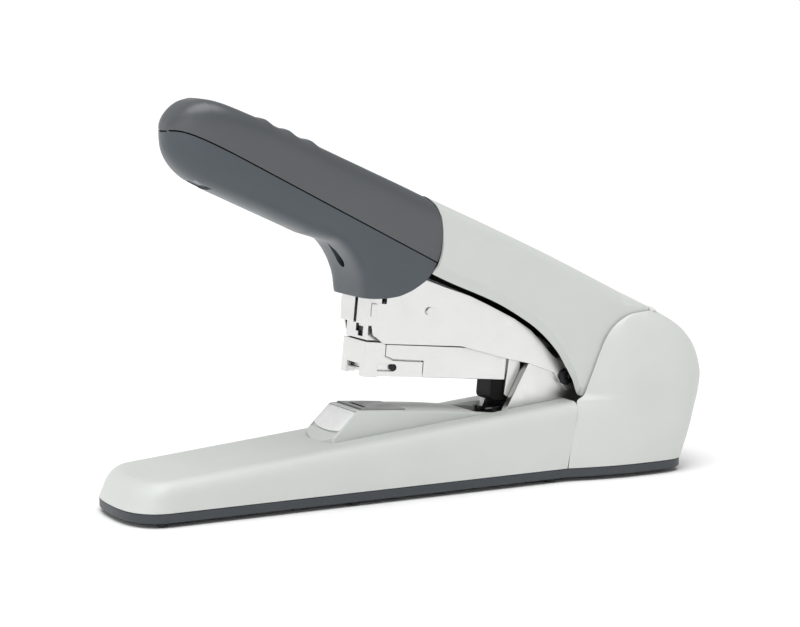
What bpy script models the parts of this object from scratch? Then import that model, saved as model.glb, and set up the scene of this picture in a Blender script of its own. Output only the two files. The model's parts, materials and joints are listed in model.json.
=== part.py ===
"""Heavy-duty flat-clinch desk stapler, modelled as an assembly of separate pieces.

Frame: +X runs from the nose of the base to the rear housing, +Z is up, and the
origin lies under the middle of the bounding box, on the surface the feet stand on.
Lengths below are in millimetres and become metres when a mesh is made. Pieces of
the arm are laid out level, as with the magazine flat, and an empty on the arm
axle tilts them to the open position.
"""
import math

import bmesh
import bpy
from mathutils import Vector

MM = 0.001
GAP = 0.3

# Base
FRONT_X = -154.0
BASE_HALF = 30.5
NOSE_START_X = -134.5
NOSE_POWER = 2.6
FOOT_RADIUS = 2.3
FOOT_TOP = 1.7
TRAY_BOTTOM = 2.0
TRAY_TOP = 6.3
SHELL_BOTTOM = 6.6
TRAY_FLOOR_TOP = 3.8
WALL = 2.2
COVER_TOP_AT_0 = 31.5
COVER_SLOPE = 0.085
COVER_FILLET_DEPTH = 11.0
COVER_FILLET_INSET = 7.4
CREASE_BOTTOM_X = 70.0
CREASE_RUN = 8.0
CREASE_TOP_Z = 38.0
FOOT_X = (-139.5, -44.5, 62.5, 128.0)
FOOT_Y = 26.5

SIDES = ((-1, "left"), (1, "right"))

# Pivots (x, z)
ARM_PIVOT = (78.5, 49.0)
ARM_TILT_DEG = 5.9
HANDLE_PIVOT = (117.0, 47.0)
TABLE_PIVOT = (33.0, 24.0)
WING_PIVOT = (8.0, 31.0)
AXLE_RADIUS = 2.7

# Clinch table
TABLE_HALF = 14.6
TABLE_FRONT_X = -49.5
TABLE_REAR_X = 42.5
ANVIL_SLOT_X = -28.5
ANVIL_SLOT_WIDTH = 2.2

# Chassis and arm, half-widths
CHASSIS_HALF = 13.3
FRAME_HALF = 15.0
STEEL = 1.4
CHANNEL_HALF = 11.5
CASING_HALF = 11.8
LEVER_HALF = 17.2

# Handle and its covers
HANDLE_HALF = 21.5
HANDLE_WALL = 2.0
SPLIT_GAP = 0.6
COVER_FRONT_X = -4.0
COVER_END_X = 123.6

COLOURS = {
    "light_plastic": ((0.62, 0.64, 0.62), 0.42, 0.0),
    "dark_plastic": ((0.09, 0.105, 0.115), 0.4, 0.0),
    "tray_plastic": ((0.05, 0.058, 0.068), 0.5, 0.0),
    "black_plastic": ((0.012, 0.012, 0.013), 0.45, 0.0),
    "rubber": ((0.03, 0.032, 0.035), 0.8, 0.0),
    "bright_steel": ((0.78, 0.78, 0.77), 0.25, 1.0),
    "anvil_steel": ((0.42, 0.43, 0.43), 0.35, 1.0),
    "dark_steel": ((0.06, 0.06, 0.065), 0.4, 1.0),
    "spring_steel": ((0.55, 0.55, 0.56), 0.3, 1.0),
    "white_window": ((0.9, 0.9, 0.9), 0.1, 0.0),
    "staple_wire": ((0.7, 0.7, 0.71), 0.25, 1.0),
}


# ---------------------------------------------------------------- tools

def material(name, colour_key):
    """One Principled material for one piece."""
    colour, roughness, metallic = COLOURS[colour_key]
    mat = bpy.data.materials.new(name + "_material")
    mat.use_nodes = True
    shader = mat.node_tree.nodes["Principled BSDF"]
    shader.inputs["Base Color"].default_value = (*colour, 1.0)
    shader.inputs["Roughness"].default_value = roughness
    shader.inputs["Metallic"].default_value = metallic
    return mat


class Pivot:
    """An empty on a joint's axis. Its pieces are given in level coordinates."""

    def __init__(self, name, origin, parent=None, tilt_deg=0.0):
        self.origin = Vector(origin)
        self.empty = bpy.data.objects.new(name, None)
        bpy.context.collection.objects.link(self.empty)
        start = parent.origin if parent else Vector((0, 0, 0))
        if parent:
            self.empty.parent = parent.empty
        self.empty.location = (self.origin - start) * MM
        self.empty.rotation_euler = (0.0, math.radians(tilt_deg), 0.0)


def mesh_object(name, points, faces, pivot, colour_key=None):
    """Make a mesh from points in millimetres, with its faces turned outwards."""
    mesh = bpy.data.meshes.new(name)
    work = bmesh.new()
    origin = pivot.origin if pivot else Vector((0, 0, 0))
    corners = [work.verts.new((Vector(p) - origin) * MM) for p in points]
    for face in faces:
        work.faces.new([corners[i] for i in face])
    bmesh.ops.recalc_face_normals(work, faces=work.faces)
    work.to_mesh(mesh)
    work.free()
    mesh.shade_smooth()
    mesh.set_sharp_from_angle(angle=math.radians(35))
    obj = bpy.data.objects.new(name, mesh)
    bpy.context.collection.objects.link(obj)
    if pivot:
        obj.parent = pivot.empty
    if colour_key:
        mesh.materials.append(material(name, colour_key))
    else:
        obj.hide_render = True
        obj.display_type = "WIRE"
    return obj


def loft(name, rings, pivot, colour_key=None):
    """Join equal rings of points into one closed body with flat ends."""
    count = len(rings[0])
    points = [p for ring in rings for p in ring]
    faces = []
    for i in range(len(rings) - 1):
        for j in range(count):
            k = (j + 1) % count
            faces.append((i * count + j, i * count + k, (i + 1) * count + k, (i + 1) * count + j))
    faces.append(tuple(range(count)))
    last = (len(rings) - 1) * count
    faces.append(tuple(range(last, last + count)))
    return mesh_object(name, points, faces, pivot, colour_key)


def prism_y(name, outline, half, pivot, colour_key=None, middle=0.0):
    """A side outline of (x, z) points, as wide as twice half along Y."""
    rings = [[(x, middle + side * half, z) for x, z in outline] for side in (-1, 1)]
    return loft(name, rings, pivot, colour_key)


def box(name, low, high, pivot, colour_key=None):
    """A block between two corners."""
    outline = [(low[0], low[2]), (high[0], low[2]), (high[0], high[2]), (low[0], high[2])]
    half = (high[1] - low[1]) / 2
    return prism_y(name, outline, half, pivot, colour_key, middle=(low[1] + high[1]) / 2)


def circle(radius, steps, middle=(0.0, 0.0)):
    """Points round a circle."""
    angles = [2 * math.pi * i / steps for i in range(steps)]
    return [(middle[0] + radius * math.cos(a), middle[1] + radius * math.sin(a)) for a in angles]


def arc(middle, radius, start_deg, end_deg, steps):
    """Points along an arc, both ends included."""
    angles = [math.radians(start_deg + (end_deg - start_deg) * i / steps) for i in range(steps + 1)]
    return [(middle[0] + radius * math.cos(a), middle[1] + radius * math.sin(a)) for a in angles]


def rod_y(name, middle, profile, pivot, colour_key=None, steps=16):
    """A turned rod along Y from (y, radius) pairs."""
    rings = [[(x, y, z) for x, z in circle(radius, steps, middle)] for y, radius in profile]
    return loft(name, rings, pivot, colour_key)


def rod_z(name, middle, profile, pivot, colour_key=None, steps=14):
    """A turned rod along Z from (z, radius) pairs."""
    rings = [[(x, y, z) for x, y in circle(radius, steps, middle)] for z, radius in profile]
    return loft(name, rings, pivot, colour_key)


def rod_x(name, middle, profile, pivot, colour_key=None, steps=12):
    """A turned rod along X from (x, radius) pairs, middle is (y, z)."""
    rings = [[(x, y, z) for y, z in circle(radius, steps, middle)] for x, radius in profile]
    return loft(name, rings, pivot, colour_key)


def boolean(target, other, operation):
    """Cut or join with a hidden helper."""
    modifier = target.modifiers.new(operation.lower(), "BOOLEAN")
    modifier.operation = operation
    modifier.solver = "EXACT"
    modifier.object = other


def cut(target, *others):
    """Take helpers away from a piece."""
    for other in others:
        boolean(target, other, "DIFFERENCE")


def join(target, *others):
    """Weld helpers onto a piece."""
    for other in others:
        boolean(target, other, "UNION")


def coil(name, start, end, radius, wire, turns, pivot, colour_key, sides=4, per_turn=8):
    """A closed helical spring between two points."""
    start, end = Vector(start), Vector(end)
    along = (end - start).normalized()
    across = along.orthogonal().normalized()
    other = along.cross(across)
    rings = []
    total = int(turns * per_turn)
    for i in range(total + 1):
        angle = 2 * math.pi * i / per_turn
        out = across * math.cos(angle) + other * math.sin(angle)
        middle = start.lerp(end, i / total) + out * radius
        ring = []
        for j in range(sides):
            turn = 2 * math.pi * j / sides
            ring.append(tuple(middle + (out * math.cos(turn) + along * math.sin(turn)) * wire))
        rings.append(ring)
    return loft(name, rings, pivot, colour_key)


def spread(points, value):
    """Straight-line reading of a table of (position, value) pairs."""
    if value <= points[0][0]:
        return points[0][1]
    for (a, low), (b, high) in zip(points, points[1:]):
        if value <= b:
            return low + (high - low) * (value - a) / (b - a)
    return points[-1][1]


def curve_points(points, count):
    """Points spaced along a smooth curve through the given ones."""
    last = len(points) - 1
    result = []
    for i in range(count):
        place = last * i / (count - 1)
        k = min(int(place), last - 1)
        t = place - k
        p0, p1 = Vector(points[max(k - 1, 0)]), Vector(points[k])
        p2, p3 = Vector(points[k + 1]), Vector(points[min(k + 2, last)])
        value = 2 * p1 + (p2 - p0) * t + (2 * p0 - 5 * p1 + 4 * p2 - p3) * t * t
        value += (3 * p1 - p0 - 3 * p2 + p3) * t ** 3
        result.append(tuple(value / 2))
    return result


def offset_outline(points, distance):
    """Move an outline sideways, to its left as it runs."""
    result = []
    for i, point in enumerate(points):
        before = Vector(points[max(i - 1, 0)])
        after = Vector(points[min(i + 1, len(points) - 1)])
        run = (after - before).normalized()
        result.append((point[0] - run.y * distance, point[1] + run.x * distance))
    return result


# ---------------------------------------------------------------- base shapes

def cover_top(x):
    """Height of the base cover's sloping top."""
    return COVER_TOP_AT_0 + COVER_SLOPE * x


def crease_x(z):
    """The slanted seam between base cover and rear housing."""
    share = max(z - TRAY_BOTTOM, 0.0) / (CREASE_TOP_Z - TRAY_BOTTOM)
    return CREASE_BOTTOM_X + CREASE_RUN * min(share, 1.0) ** 1.5


def nose_outline(inset, steps=8):
    """Plan of the base from its straight side to the nose and back."""
    half = BASE_HALF - inset
    reach = NOSE_START_X - (FRONT_X + inset)
    side = []
    for i in range(steps + 1):
        angle = math.pi / 2 * i / steps
        x = NOSE_START_X - reach * math.sin(angle) ** (2 / NOSE_POWER)
        side.append((x, half * math.cos(angle) ** (2 / NOSE_POWER)))
    return side + [(x, -y) for x, y in reversed(side[:-1])]


def housing_outline(z, inset=0.0, reach=0.0, steps=7):
    """Plan of the bulged rear housing at one height. A reach carries its sides on past the front."""
    front = spread(HOUSING_FRONT_X, z)
    rear = spread(HOUSING_REAR_X, z) - inset
    middle = max(108.0, front + 2.0)
    front_half = spread(HOUSING_FRONT_HALF, z) - inset
    middle_half = spread(HOUSING_MIDDLE_HALF, z) - inset
    side = []
    for i in range(steps + 1):
        angle = math.pi / 2 * i / steps
        x = middle + (rear - middle) * math.cos(angle) ** (2 / HOUSING_POWER)
        side.append((x, middle_half * math.sin(angle) ** (2 / HOUSING_POWER)))
    for share in (0.33, 0.66, 1.0):
        x = middle + (front - middle) * share
        side.append((x, middle_half - (middle_half - front_half) * share ** 1.8))
    if reach:
        side.append((front - reach, front_half))
    return [(x, -y) for x, y in reversed(side[1:])] + side


HOUSING_POWER = 5.0
# (height, value) pairs of the housing
HOUSING_FRONT_X = ((2.0, 70.3), (18.4, 72.9), (30.8, 76.2), (38.6, 78.4), (41.0, 82.6), (47.6, 85.8),
                   (60.8, 91.6), (67.0, 94.9), (71.0, 98.3), (74.5, 102.6), (77.0, 107.4), (78.6, 112.0),
                   (79.2, 118.0), (79.6, 124.0), (81.2, 124.0))
HOUSING_REAR_X = ((2.0, 139.2), (6.6, 140.2), (18.4, 145.1), (30.8, 149.3), (39.2, 152.2), (47.6, 154.0),
                  (53.3, 153.6), (60.8, 151.6), (67.0, 147.8), (73.0, 141.0), (77.5, 133.2), (79.6, 129.0),
                  (80.8, 126.7), (81.2, 126.0))
HOUSING_FRONT_HALF = ((2.0, 30.6), (18.4, 30.3), (30.8, 29.4), (38.6, 25.4), (62.0, 25.4), (67.0, 25.1),
                      (71.0, 24.3), (77.0, 22.8), (79.6, 21.6), (81.2, 19.0))
# Half-width of the opening between the cheeks, which takes the arm cover
MOUTH_HALF = ((37.5, 24.5), (62.0, 24.5), (66.0, 24.2), (70.0, 23.4), (73.0, 22.7), (77.0, 21.8), (90.0, 21.5))
MOUTH_REAR_X = 123.8
HOUSING_MIDDLE_HALF = ((2.0, 36.2), (6.6, 36.5), (20.0, 36.5), (31.0, 36.0), (39.0, 35.3), (47.6, 34.2),
                       (53.3, 32.8), (60.8, 30.6), (67.0, 28.4), (73.0, 25.9), (77.0, 23.8), (79.6, 21.6),
                       (81.2, 19.0))


def tray():
    """Bottom tray: a floor with a raised edge that follows both covers."""
    def outline(inset):
        nose = nose_outline(inset)
        back = [p for p in housing_outline(4.0, inset) if p[0] > CREASE_BOTTOM_X + 1]
        join_x = CREASE_BOTTOM_X - 1
        half = BASE_HALF - inset
        return nose + [(join_x, -half)] + back + [(join_x, half)]

    def ring(inset, z):
        return [(x, y, z) for x, y in outline(inset)]

    piece = loft("base_tray", [ring(0.5, TRAY_BOTTOM), ring(0.0, TRAY_BOTTOM + 0.6), ring(0.0, TRAY_TOP)],
                 None, "tray_plastic")
    hollow = loft("cut_tray", [ring(WALL, TRAY_FLOOR_TOP), ring(WALL, TRAY_TOP + 5)], None)
    cut(piece, hollow)
    for i, (x, y) in enumerate(SCREW_PLACES):
        cut(piece, rod_z(f"cut_tray_screw_{i}", (x, y), [(0, 2.0), (10, 2.0)], None, steps=10))


SCREW_PLACES = ((-110.0, 14.0), (-110.0, -14.0), (100.0, 24.0), (100.0, -24.0))


def feet():
    """Eight round rubber feet."""
    number = 0
    for x in FOOT_X:
        for side in (-1, 1):
            number += 1
            rod_z(f"base_foot_{number}", (x, side * FOOT_Y),
                  [(0.0, FOOT_RADIUS - 0.3), (0.4, FOOT_RADIUS), (FOOT_TOP, FOOT_RADIUS)], None, "rubber", 12)


def tray_screws():
    """Four screws through the tray."""
    shape = [(TRAY_FLOOR_TOP - 1.6, 1.6), (TRAY_FLOOR_TOP + GAP, 1.6), (TRAY_FLOOR_TOP + GAP, 3.2),
             (TRAY_FLOOR_TOP + 2.4, 3.2)]
    for i, place in enumerate(SCREW_PLACES):
        rod_z(f"tray_screw_{i + 1}", place, shape, None, "spring_steel", 10)


def table_front(offset, steps=4):
    """Bowed front edge of the clinch table in plan."""
    half = TABLE_HALF + offset
    result = []
    for i in range(steps + 1):
        y = half * (1 - 2 * i / steps)
        result.append((TABLE_FRONT_X - offset + 3.5 * (y / half) ** 2, y))
    return result


def base_cover():
    """Light cover: drafted sides, large soft edges, a top that rises to the rear."""
    def ring(inset, depth, wall=0.0, rear=None):
        points = []
        for x, y in nose_outline(inset + wall):
            z = SHELL_BOTTOM if depth is None else cover_top(x) - depth - wall
            points.append((x, y, z))
        half = BASE_HALF - inset - wall
        low = SHELL_BOTTOM if depth is None else cover_top(CREASE_BOTTOM_X + CREASE_RUN) - depth
        x = rear if rear else crease_x(low)
        z = SHELL_BOTTOM if depth is None else cover_top(x) - depth - wall
        return points + [(x, -half, z), (x, half, z)]

    fillet = [(0.0, None), (0.6, COVER_FILLET_DEPTH)]
    for i in (1, 2, 3, 4, 5):
        angle = math.pi / 2 * i / 5
        inset = 0.6 + COVER_FILLET_INSET * (1 - math.cos(angle))
        fillet.append((inset, COVER_FILLET_DEPTH * (1 - math.sin(angle))))
    piece = loft("base_cover", [ring(*step) for step in fillet], None, "light_plastic")
    inside = [[(x, y, 0.0) for x, y, z in ring(0.0, None, WALL, 90.0)]]
    inside += [ring(inset, depth, WALL, 90.0) for inset, depth in fillet[1:]]
    table_hole = [(x, y) for x, y in table_front(0.5)] + [(44.3, -15.1), (44.3, 15.1)]
    hole = loft("cut_table_hole", [[(x, y, z) for x, y in table_hole] for z in (14.0, 60.0)], None)
    slot = box("cut_chassis_slot", (40.0, -CHASSIS_HALF - 0.5, 14.0), (90.0, CHASSIS_HALF + 0.5, 60.0), None)
    cut(piece, loft("cut_cover_inside", inside, None), hole, slot)


def rear_housing():
    """Rear housing: two bulged cheeks and a rounded back, open to the front and below."""
    levels = (SHELL_BOTTOM, 18.4, 30.8, 38.6, 41.0, 47.6, 54.0, 60.8, 67.0, 71.0, 74.5, 77.0, 78.6, 79.6,
              80.6, 81.2)
    outer = [[(x, y, z) for x, y in housing_outline(z)] for z in levels]
    piece = loft("rear_housing", outer, None, "light_plastic")
    inner = [[(x, y, 0.0) for x, y in housing_outline(SHELL_BOTTOM, WALL, 8.0)]]
    for z in levels:
        if z < 77.5:
            inner.append([(x, y, z) for x, y in housing_outline(z, WALL, 8.0)])
    top = housing_outline(77.4, WALL, 8.0)
    inner.append([(x, y * 0.97, 78.6) for x, y in top])
    cut(piece, loft("cut_housing_inside", inner, None))
    mouth = []
    for z, half in MOUTH_HALF:
        mouth.append([(60.0, -half, z), (MOUTH_REAR_X, -half, z), (MOUTH_REAR_X, half, z), (60.0, half, z)])
    cut(piece, loft("cut_housing_mouth", mouth, None))


# ---------------------------------------------------------------- base inside

def chassis():
    """Steel chassis: floor, two side plates with slanted paper stops, hinge ears."""
    nose = arc(HANDLE_PIVOT, 11.0, 90, -10, 6)
    outline = [(-66, 4.2), (128, 4.2), *reversed(nose), (80, 58.5), (66, 58.5), (58.3, 56.6), (47.7, 38.2),
               (45.2, 33.2), (45.2, 5.8), (-66, 5.8)]
    piece = prism_y("chassis_frame", outline, CHASSIS_HALF, None, "bright_steel")
    inner = box("cut_chassis", (-80, -CHASSIS_HALF + STEEL, 5.8), (140, CHASSIS_HALF - STEEL, 80), None)
    cut(piece, inner)
    stop = [(45.2, 33.2), (47.7, 38.2), (58.3, 56.6), (59.9, 56.6), (49.3, 38.2), (46.8, 33.2)]
    for side in (-1, 1):
        middle = side * (CHASSIS_HALF - 2.2)
        join(piece, prism_y(f"add_stop_{side + 1}", stop, 2.0, None, middle=middle))
        ear = box(f"add_ear_{side + 1}", (29, side * 10 - 0.8, 5.0), (37, side * 10 + 0.8, 27.5), None)
        join(piece, ear)
    for i, (centre, radius) in enumerate(((ARM_PIVOT, AXLE_RADIUS), (HANDLE_PIVOT, AXLE_RADIUS),
                                          (TABLE_PIVOT, 1.5))):
        cut(piece, rod_y(f"cut_axle_{i}", centre, [(-30, radius + GAP), (30, radius + GAP)], None))


def axles():
    """Arm axle with dark round heads, handle axle and the table's hinge pin."""
    head = 4.0
    ends = FRAME_HALF + GAP
    profile = [(-ends - 1.4, head - 0.5), (-ends - 1.0, head), (-ends, head), (-ends, AXLE_RADIUS),
               (ends, AXLE_RADIUS), (ends, head), (ends + 1.0, head), (ends + 1.4, head - 0.5)]
    rod_y("arm_axle", ARM_PIVOT, profile, None, "dark_steel")
    rod_y("handle_axle", HANDLE_PIVOT, [(-22, AXLE_RADIUS), (22, AXLE_RADIUS)], None, "dark_steel")
    rod_y("table_hinge_pin", TABLE_PIVOT, [(-13.6, 1.5), (13.6, 1.5)], None, "spring_steel", 10)


def clincher_block():
    """Support under the anvil that carries the table spring."""
    piece = box("clincher_block", (-44, -9, 6.1), (-14, 9, 17.0), None, "black_plastic")
    cut(piece, rod_z("cut_spring_seat", (-19.0, 0.0), [(10.0, 4.6), (30.0, 4.6)], None))


def springs():
    """Lift spring of the arm, torsion spring of the handle and the table's spring."""
    coil("arm_lift_spring", (47.0, 0, 7.0), (47.0, 0, 36.6), 4.2, 0.6, 6, None, "spring_steel")
    coil("table_spring", (-19.0, 0, 11.0), (-19.0, 0, 34.4), 3.2, 0.5, 5, None, "spring_steel")
    x, z = HANDLE_PIVOT
    coil("handle_torsion_spring", (x, -9.5, z), (x, 9.5, z), 5.0, 0.9, 8, None, "spring_steel")


# ---------------------------------------------------------------- clinch table

TABLE_TOP = ((-60.0, 43.0), (-34.3, 41.4), (-20.6, 40.4), (8.6, 37.8), (25.1, 35.7), (60.0, 31.5))


def table_profile(lower):
    """Side outline of the wedge, lowered by a constant for its inside."""
    foot = 26.5
    points = [(TABLE_FRONT_X - 4, foot - 6), (TABLE_FRONT_X, foot), (-34.8, 41.3)]
    points += [(x, z) for x, z in TABLE_TOP[1:-1]]
    points += [(TABLE_REAR_X, spread(TABLE_TOP, TABLE_REAR_X)), (TABLE_REAR_X, 20.0)]
    return [(x, z - lower) for x, z in points]


def clinch_table(pivot):
    """Wedge-shaped table that sinks a little under the magazine."""
    plan = table_front(0.0) + [(TABLE_REAR_X, -TABLE_HALF), (TABLE_REAR_X, TABLE_HALF)]
    piece = prism_y("clinch_table", table_profile(0.0), TABLE_HALF + 5, pivot, "light_plastic")
    block = loft("keep_table", [[(x, y, z) for x, y in plan] for z in (21.0, 50.0)], pivot)
    boolean(piece, block, "INTERSECT")
    inside = [(-43.5, 0), (-43.5, 27.5), (-33.6, 38.2), (-20.6, 38.0), (8.6, 35.4), (25.1, 33.3), (30.0, 32.5),
              (30.0, 0)]
    cut(piece, prism_y("cut_table_inside", inside, TABLE_HALF - 2.0, pivot))
    cut(piece, box("cut_table_notch", (29.0, -11.4, 0.0), (60.0, 11.4, 60.0), pivot))
    cut(piece, box("cut_anvil_seat", (-33.4, -12.9, 39.4), (-9.1, 12.9, 60.0), pivot))
    slot = box("cut_wing_slot", (ANVIL_SLOT_X - 2.0, -9.2, 30.0), (ANVIL_SLOT_X + 2.0, 9.2, 60.0), pivot)
    cut(piece, slot, rod_y("cut_table_pin", TABLE_PIVOT, [(-30, 1.8), (30, 1.8)], pivot))
    cut(piece, prism_y("cut_window_seat", window_outline(1.4), 12.6, pivot))


def window_outline(deep):
    """Slanted seat of the window in the table's front slope."""
    low, high = (-41.9, 33.6), (-36.0, 39.8)
    run = (Vector(high) - Vector(low)).normalized()
    out = Vector((-run.y, run.x))
    corners = [Vector(low) + out * 3, Vector(high) + out * 3, Vector(high) - out * deep, Vector(low) - out * deep]
    return [tuple(c) for c in corners]


def table_window(pivot):
    """Bright panel set in the front slope."""
    low, high = Vector((-41.6, 33.9)), Vector((-36.3, 39.5))
    run = (high - low).normalized()
    out = Vector((-run.y, run.x))
    corners = [low + out * 0.5, high + out * 0.5, high - out * 0.9, low - out * 0.9]
    prism_y("table_window", [tuple(c) for c in corners], 12.3, pivot, "white_window")


def anvil_plate(pivot):
    """Steel plate with the slot through which the clincher wings rise."""
    outline = [(-33.1, 39.7), (-9.4, 39.7), (-9.4, 39.9), (-20.6, 41.0), (-32.6, 41.9), (-33.1, 41.5)]
    piece = prism_y("anvil_plate", outline, 12.6, pivot, "anvil_steel")
    half = ANVIL_SLOT_WIDTH / 2
    cut(piece, box("cut_anvil_slot", (ANVIL_SLOT_X - half, -7.4, 30), (ANVIL_SLOT_X + half, 7.4, 60), pivot))


def wing(side, word, pivot):
    """Small lever under the slot that folds one staple leg flat."""
    half_outline = [(8.9, 29.2), (9.4, 30.4), (9.2, 32.6), (0.7, 37.4), (0.7, 36.0), (6.6, 30.2), (7.4, 29.2)]
    rings = []
    for x in (ANVIL_SLOT_X - 0.7, ANVIL_SLOT_X + 0.7):
        rings.append([(x, side * y, z) for y, z in half_outline])
    loft(f"clincher_wing_{word}", rings, pivot, "spring_steel")


# ---------------------------------------------------------------- arm

def arm_frame(pivot):
    """Steel arm: a U of two side panels with bent front flanges and a slot between them."""
    rear = arc(ARM_PIVOT, 7.5, 75, -75, 6)
    outline = [(-30.6, 69.4), (-29.6, 65.3), (-23.9, 61.7), (18.2, 61.9), (43.3, 56.9), (57.5, 54.7), (72.0, 50.6),
               *reversed(rear), (74.5, 56.4), (69.5, 59.5), (62.9, 65.6), (56.3, 71.0), (46.5, 76.2),
               (31.8, 82.0), (20.2, 86.2), (-5.1, 92.6), (-14.0, 93.0), (-27.0, 88.0), (-30.6, 88.0)]
    piece = prism_y("arm_frame", outline, FRAME_HALF, pivot, "bright_steel")
    inner_half = FRAME_HALF - STEEL
    tunnel = [(-60, 0), (140, 0), (140, 120), (56.0, 120), (56.0, 69.4), (46.0, 74.6),
              (31.4, 80.4), (19.8, 84.6), (-5.1, 91.0), (-14.0, 91.4), (-14.0, 120), (-60, 120)]
    cut(piece, prism_y("cut_arm_inside", tunnel, inner_half, pivot))
    for side in (-1, 1):
        low, high = sorted((side * 1.5, side * FRAME_HALF))
        join(piece, box(f"add_flange_{side + 1}", (-32.6, low, 69.9), (-31.2, high, 88.0), pivot))
        low, high = sorted((side * (inner_half - 0.2), side * FRAME_HALF))
        join(piece, box(f"add_flange_root_{side + 1}", (-32.0, low, 69.9), (-30.0, high, 88.0), pivot))
    cut(piece, box("cut_arm_notch", (-27.0, -30, 80.5), (-24.4, 30, 100), pivot))
    cut(piece, rod_y("cut_arm_bore", ARM_PIVOT, [(-30, AXLE_RADIUS + GAP), (30, AXLE_RADIUS + GAP)], pivot))


def frame_rivets(pivot):
    """Rivet heads and small corner tabs on both side panels."""
    for side, word in SIDES:
        profile = sorted((side * (FRAME_HALF + reach), radius) for reach, radius in
                         ((GAP, 2.0), (0.9, 2.0), (1.1, 1.6)))
        rod_y(f"frame_rivet_{word}", (-1.2, 77.9), profile, pivot, "bright_steel", 12)
        low, high = sorted((side * (FRAME_HALF + GAP), side * (FRAME_HALF + 1.2)))
        box(f"corner_tab_{word}", (-32.4, low, 74.2), (-29.6, high, 80.4), pivot, "bright_steel")


def blade_guide(pivot):
    """Guide behind the flanges that keeps the driver blade straight."""
    piece = box("blade_guide", (-31.0, -10.8, 62.6), (-23.2, 10.8, 80.0), pivot, "bright_steel")
    cut(piece, box("cut_guide", (-30.0, -9.6, 60.0), (-20.0, 9.6, 90.0), pivot))
    cut(piece, box("cut_guide_window", (-40.0, -6.0, 64.0), (-28.0, -1.0, 68.6), pivot))
    cut(piece, box("cut_guide_slot", (-40.0, -1.5, 66.0), (-29.9, 1.5, 90.0), pivot))


def magazine_channel(pivot):
    """Outer channel that holds the staple rail."""
    outline = [(0.2, 46.0), (46.0, 46.0), (46.0, 61.2), (-20.6, 61.2), (-20.6, 55.6), (-16.4, 54.1), (0.2, 53.9)]
    piece = prism_y("magazine_channel", outline, CHANNEL_HALF, pivot, "bright_steel")
    cut(piece, box("cut_channel", (-60, -CHANNEL_HALF + 1.2, 47.2), (60, CHANNEL_HALF - 1.2, 80), pivot))


def bracket_plates(pivot):
    """Two plates behind the magazine, tied by a cross wall."""
    outline = [(49.0, 64.0), (49.0, 56.2), (48.6, 46.6), (48.3, 38.4), (50.8, 37.0), (55.8, 45.9), (55.8, 64.0)]
    piece = prism_y("bracket_plates", outline, 8.8, pivot, "bright_steel")
    cut(piece, box("cut_bracket", (50.0, -7.6, 0), (60.0, 7.6, 62.6), pivot))
    cut(piece, box("cut_bracket_front", (40.0, -7.6, 0), (60.0, 7.6, 47.0), pivot))


def lift_buffer(pivot):
    """Black block under the magazine that sits on the lift spring."""
    outline = [(41.5, 45.7), (41.5, 37.5), *arc((44.0, 37.5), 2.5, 180, 270, 3), (52.0, 35.0), (52.0, 45.7)]
    prism_y("lift_buffer", outline, 7.0, pivot, "black_plastic")


def driver(pivot):
    """Driver blade and the hammer that carries it."""
    box("driver_blade", (-29.7, -6.3, 61.4), (-28.9, 6.3, 86.0), pivot, "spring_steel")
    box("driver_hammer", (-28.6, -9.0, 80.6), (-22.8, 9.0, 106.5), pivot, "dark_steel")


# ---------------------------------------------------------------- magazine

def front_casing(pivot):
    """Casing round the staple outlet, with side plates that run back beside the rail."""
    plan_half = CASING_HALF
    outline = [(-31.5, 45.5), (-0.3, 45.5), (-0.3, 53.4), (-16.6, 53.6), (-21.1, 55.2), (-21.1, 61.0), (-23.6, 62.0),
               (-31.5, 62.0)]
    piece = prism_y("front_casing", outline, plan_half, pivot, "bright_steel")
    cut(piece, box("cut_casing", (-30.3, -plan_half + 1.2, 40), (10, plan_half - 1.2, 70), pivot))
    cut(piece, box("cut_outlet", (-40, -6.5, 40), (-28, 6.5, 51.0), pivot))
    slot = [(-24.5, 48.5), (-16.0, 48.5), *arc((-16.0, 50.2), 1.7, -60, 60, 4), (-16.0, 51.9), (-24.5, 51.9)]
    cut(piece, prism_y("cut_side_slot", slot, 30, pivot))
    step = box("cut_side_step", (-24.5, -30, 40), (5, 30, 46.0), pivot)
    cut(piece, step)


def latch_pins(pivot):
    """Two spring pins at the rear ends of the casing's side slots."""
    for side, word in SIDES:
        low, high = sorted((side * 10.1, side * 11.4))
        rod_y(f"latch_pin_{word}", (-16.0, 50.2), [(low, 1.4), (high, 1.4)], pivot, "dark_steel", 10)


def magazine_rail(pivot):
    """Rail with a hollow core that the staples ride on."""
    piece = box("magazine_rail", (-28.5, -9.8, 47.6), (45.0, 9.8, 59.6), pivot, "bright_steel")
    cut(piece, box("cut_rail", (-60, -8.6, 48.8), (43.6, 8.6, 70), pivot))
    join(piece, box("add_core", (-28.2, -5.4, 48.0), (44.5, 5.4, 58.0), pivot))
    cut(piece, box("cut_core", (-27.0, -4.2, 49.2), (43.6, 4.2, 70), pivot))


def staples(pivot):
    """Half a strip of staples over the core."""
    piece = box("staple_strip", (-28.2, -6.9, 49.2), (-4.2, 6.9, 60.4), pivot, "staple_wire")
    cut(piece, box("cut_staples", (-60, -6.0, 40), (60, 6.0, 59.2), pivot))
    count = 11
    for i in range(count):
        x = -27.0 + i * 2.1
        cut(piece, box(f"cut_staple_{i}", (x, -20, 60.2), (x + 0.5, 20, 70), pivot))


def rail_fittings(pivot):
    """Guide rod and the spring that pushes the staples forward."""
    rod_x("guide_rod", (0.0, 54.0), [(-26.6, 0.9), (43.2, 0.9)], pivot, "spring_steel", 8)
    coil("pusher_spring", (3.0, 0, 54.0), (42.6, 0, 54.0), 2.2, 0.35, 12, pivot, "spring_steel")


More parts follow.
